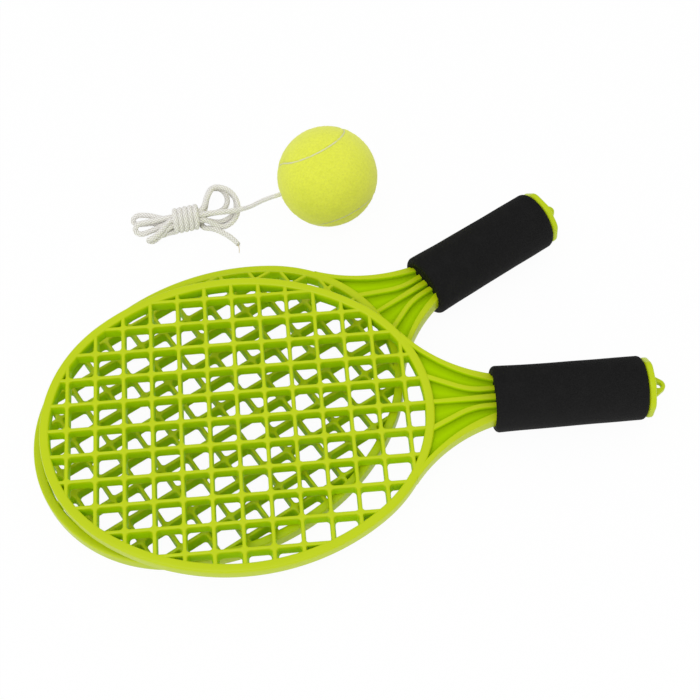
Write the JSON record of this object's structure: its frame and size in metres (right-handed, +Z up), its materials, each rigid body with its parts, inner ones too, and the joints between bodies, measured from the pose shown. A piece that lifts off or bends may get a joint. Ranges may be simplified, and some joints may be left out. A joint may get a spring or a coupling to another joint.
{
  "type": "pole tennis set",
  "caption": "Moulded plastic bats with oval grid heads, ribbed throats and foam grips, lying crossed, with a felt ball tethered on a hanked braided cord for hitting round a post.",
  "frame": {"origin": "plan centre of the bats and the ball, on the floor they lie on", "axes": "+X along the upper bat from its head to its grip, +Y towards the ball, +Z up"},
  "size_m": [0.3858, 0.3165, 0.0676],
  "materials": {
    "lime_plastic": "satin lime moulded plastic",
    "grip_foam": "matt black closed-cell foam",
    "ball_felt": "yellow-green woolly felt",
    "seam_rubber": "pale matt rubber seam",
    "core_rubber": "dark moulded rubber",
    "cord_braid": "off-white braided cord"
  },
  "bodies": {
    "lower_bat": {"lower_hoop": "lime_plastic", "lower_string_grid": "lime_plastic", "lower_throat": "lime_plastic", "lower_handle_core": "lime_plastic", "lower_foam_grip": "grip_foam", "lower_end_cap": "lime_plastic"},
    "upper_bat": {"upper_hoop": "lime_plastic", "upper_string_grid": "lime_plastic", "upper_throat": "lime_plastic", "upper_handle_core": "lime_plastic", "upper_foam_grip": "grip_foam", "upper_end_cap": "lime_plastic"},
    "cord": {"stop_knot": "cord_braid", "cord_lead": "cord_braid", "cord_hank": "cord_braid", "cord_tail": "cord_braid"},
    "ball": {"felt_panel_a": "ball_felt", "felt_panel_b": "ball_felt", "ball_seam": "seam_rubber", "core_half_front": "core_rubber", "core_half_back": "core_rubber"}
  },
  "joints": [
    {"name": "upper_bat_lift", "type": "slide", "parent": "lower_bat", "child": "upper_bat", "axis": [0, 0, 1], "range_m": [0, 0.15]},
    {"name": "cord_lift", "type": "slide", "parent": "lower_bat", "child": "cord", "axis": [0, 0, 1], "range_m": [0, 0.15]},
    {"name": "ball_spin", "type": "hinge", "parent": "cord", "child": "ball", "pos_m": [0.0016, 0.12447, 0.0338], "axis": [-0.9643, -0.2138, -0.1564], "continuous": true}
  ]
}
